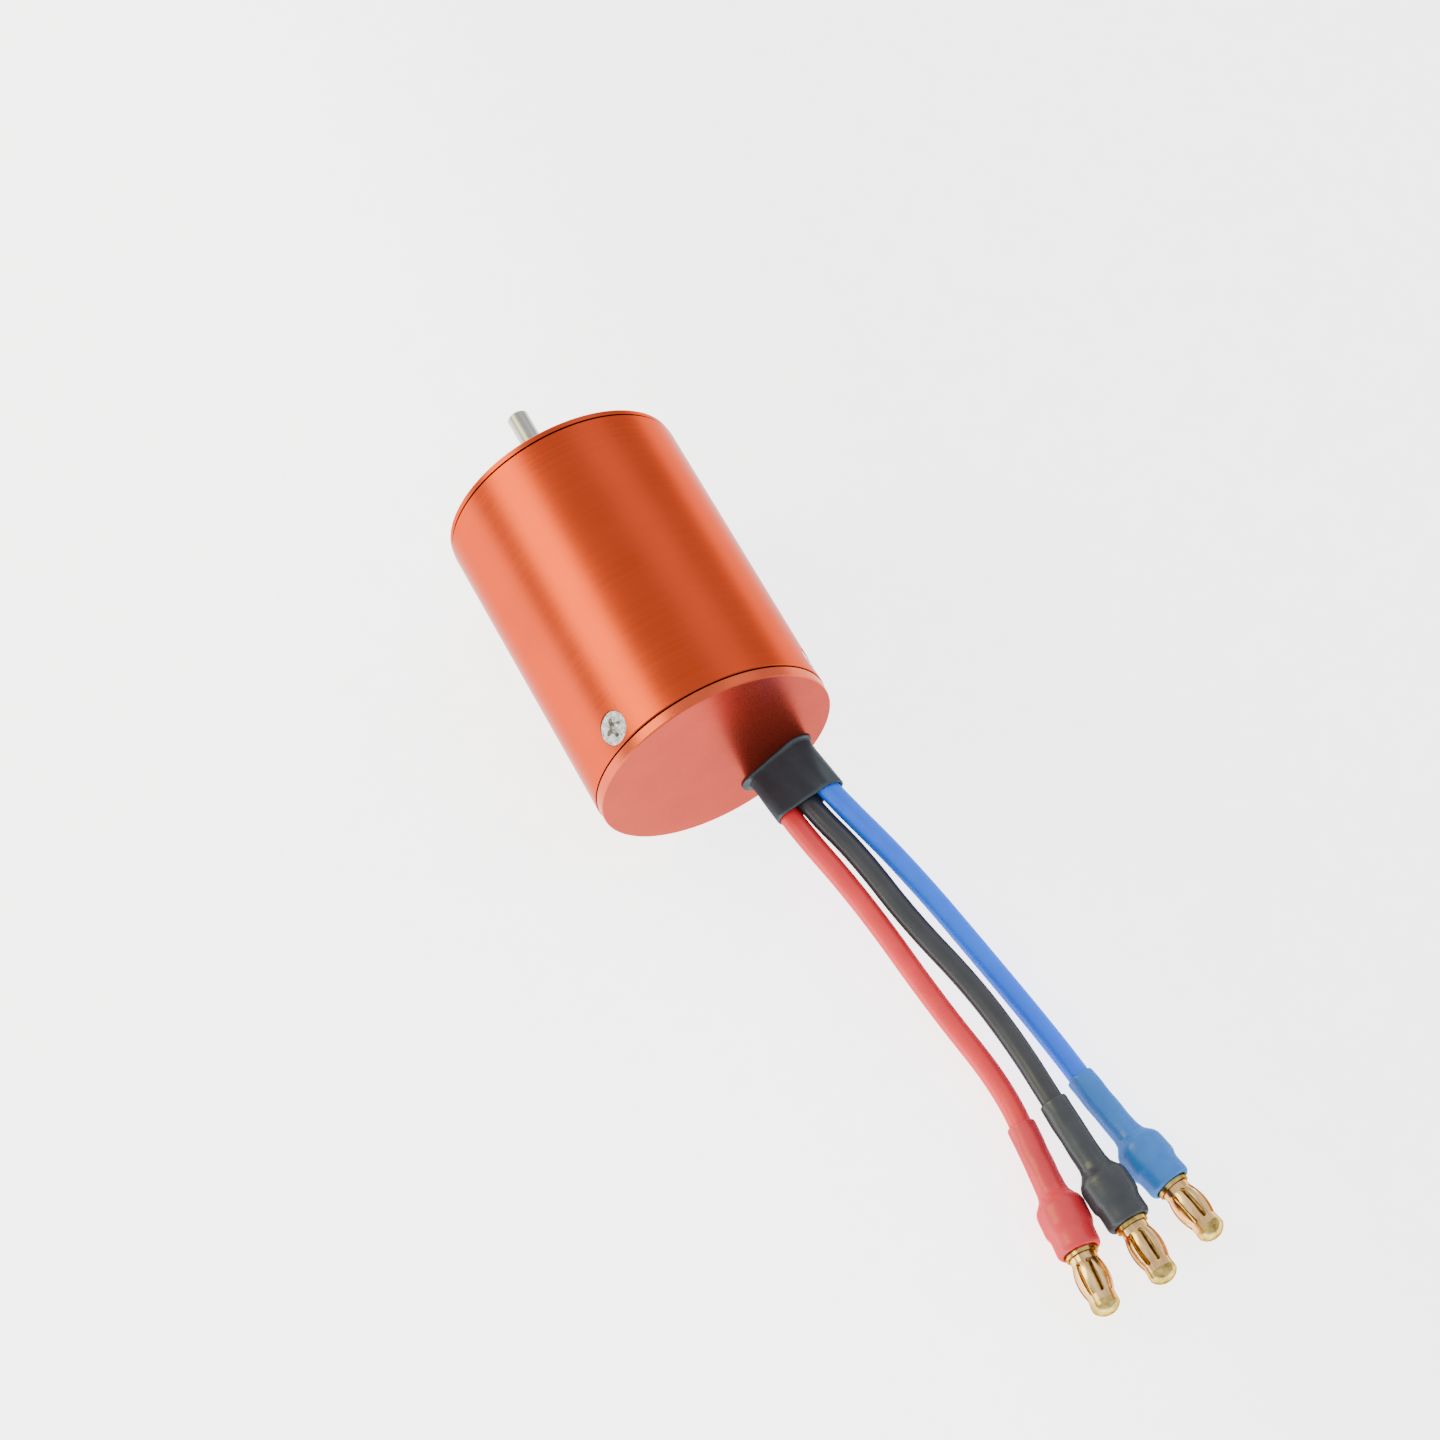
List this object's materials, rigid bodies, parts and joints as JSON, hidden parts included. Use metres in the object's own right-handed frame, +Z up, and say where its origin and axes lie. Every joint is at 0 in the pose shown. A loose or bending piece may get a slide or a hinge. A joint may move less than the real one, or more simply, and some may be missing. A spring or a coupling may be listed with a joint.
{
  "type": "brushless inrunner motor",
  "caption": "Sensorless brushless motor: smooth orange anodised can, slim front shaft, radial cap screws, flat cable sleeve and leads ending in bullet plugs.",
  "frame": {"origin": "centre of the front mounting face, on the shaft axis", "axes": "+X out along the shaft, away from the motor; +Z up as the motor lies on its side, with the ground 18 mm below the shaft axis"},
  "size_m": [0.1561, 0.0495, 0.036],
  "materials": {
    "anodised_can": "orange anodised aluminium, turned sheen",
    "anodised_face": "orange anodised aluminium, fine matt face",
    "screw_nickel": "nickel plated steel",
    "ground_steel": "ground steel",
    "core_steel": "plain steel",
    "lamination": "varnished electrical steel",
    "magnet": "nickel coated magnet",
    "band_fibre": "yellow fibre binding in resin",
    "turned_brass": "turned brass",
    "insulator": "natural insulating plastic",
    "bearing_steel": "ground bearing steel",
    "ball_steel": "polished bearing steel",
    "shield_steel": "pressed steel",
    "copper_wire": "enamelled copper wire",
    "tinned_copper": "tinned copper",
    "sleeve_black": "black heat-shrink, satin",
    "silicone_red": "red silicone insulation",
    "silicone_black": "black silicone insulation",
    "silicone_blue": "blue silicone insulation",
    "shrink_red": "red heat-shrink",
    "shrink_black": "black heat-shrink",
    "shrink_blue": "steel blue heat-shrink",
    "gold_pin": "gold plated brass",
    "gold_spring": "gold plated copper alloy spring"
  },
  "bodies": {
    "motor": {"black_bullet_pin": "gold_pin", "black_bullet_spring": "gold_spring", "black_connector_sleeve": "shrink_black", "black_lead": "silicone_black", "black_splice": "tinned_copper", "blue_bullet_pin": "gold_pin", "blue_bullet_spring": "gold_spring", "blue_connector_sleeve": "shrink_blue", "blue_lead": "silicone_blue", "blue_splice": "tinned_copper", "cable_sleeve": "sleeve_black", "can": "anodised_can", "cap_screws": "screw_nickel", "disc_spring": "ground_steel", "front_bearing_outer_race": "bearing_steel", "front_bearing_shields": "shield_steel", "front_cap": "anodised_can", "front_insulator": "insulator", "phase_a_coils": "copper_wire", "phase_a_tail": "copper_wire", "phase_b_coils": "copper_wire", "phase_b_tail": "copper_wire", "phase_c_coils": "copper_wire", "phase_c_tail": "copper_wire", "rear_bearing_outer_race": "bearing_steel", "rear_bearing_shields": "shield_steel", "rear_cap": "anodised_face", "rear_insulator": "insulator", "red_bullet_pin": "gold_pin", "red_bullet_spring": "gold_spring", "red_connector_sleeve": "shrink_red", "red_lead": "silicone_red", "red_splice": "tinned_copper", "star_joint": "insulator", "stator_core": "lamination"},
    "rotor": {"shaft": "ground_steel", "rotor_core": "core_steel", "magnets": "magnet", "rotor_band": "band_fibre", "front_balance_ring": "turned_brass", "rear_balance_ring": "turned_brass", "front_spacer": "ground_steel", "rear_spacer": "ground_steel", "front_bearing_inner_race": "bearing_steel", "rear_bearing_inner_race": "bearing_steel"},
    "front_ball_set": {"front_bearing_balls": "ball_steel", "front_bearing_cage": "shield_steel"},
    "rear_ball_set": {"rear_bearing_balls": "ball_steel", "rear_bearing_cage": "shield_steel"}
  },
  "joints": [
    {"name": "rotor_spin", "type": "hinge", "parent": "motor", "child": "rotor", "pos_m": [0, 0, 0], "axis": [1, 0, 0], "continuous": true},
    {"name": "front_balls_spin", "type": "hinge", "parent": "motor", "child": "front_ball_set", "pos_m": [-0.00238, 0, 0], "axis": [1, 0, 0], "continuous": true},
    {"name": "rear_balls_spin", "type": "hinge", "parent": "motor", "child": "rear_ball_set", "pos_m": [-0.04402, 0, 0], "axis": [1, 0, 0], "continuous": true}
  ],
  "couplings": [
    {"joint": "front_balls_spin", "follows": "rotor_spin", "ratio": 0.375},
    {"joint": "rear_balls_spin", "follows": "rotor_spin", "ratio": 0.375}
  ]
}
